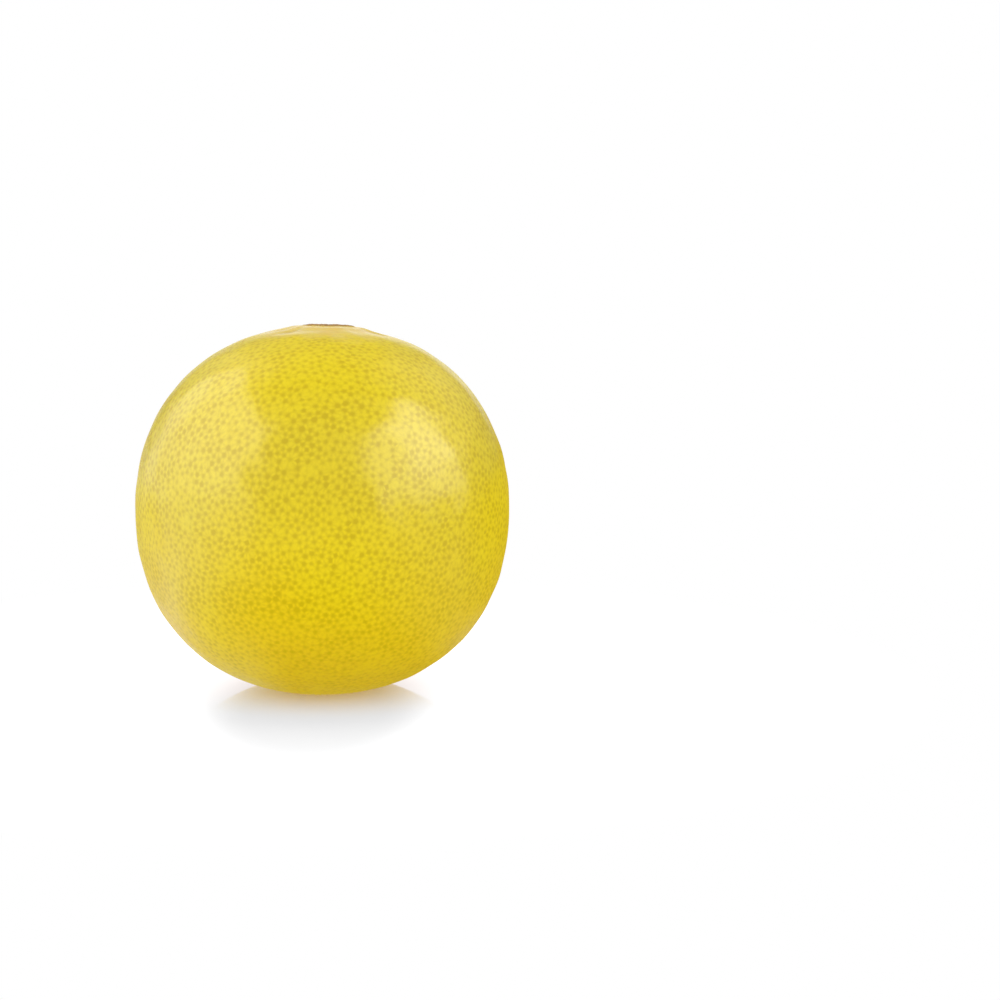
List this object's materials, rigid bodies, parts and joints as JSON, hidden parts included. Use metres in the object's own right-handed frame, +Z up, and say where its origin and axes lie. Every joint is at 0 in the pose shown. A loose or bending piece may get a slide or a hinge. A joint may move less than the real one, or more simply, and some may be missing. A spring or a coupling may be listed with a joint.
{
  "type": "sweet lime",
  "caption": "Whole round yellow sweet lime with a thin pitted peel and a dry stem scar, resting on a small flat spot.",
  "frame": {"origin": "centre of the small flat spot that the fruit rests on, at its blossom end", "axes": "+Z up the fruit's own axis, out at the stem end; +Y away from the viewer, +X to the viewer's right"},
  "size_m": [0.0662, 0.0658, 0.0646],
  "materials": {
    "peel": "waxy satin citrus peel, bright yellow, pitted with small darker oil glands"
  },
  "bodies": {
    "root": {"lime": "peel"}
  },
  "joints": []
}
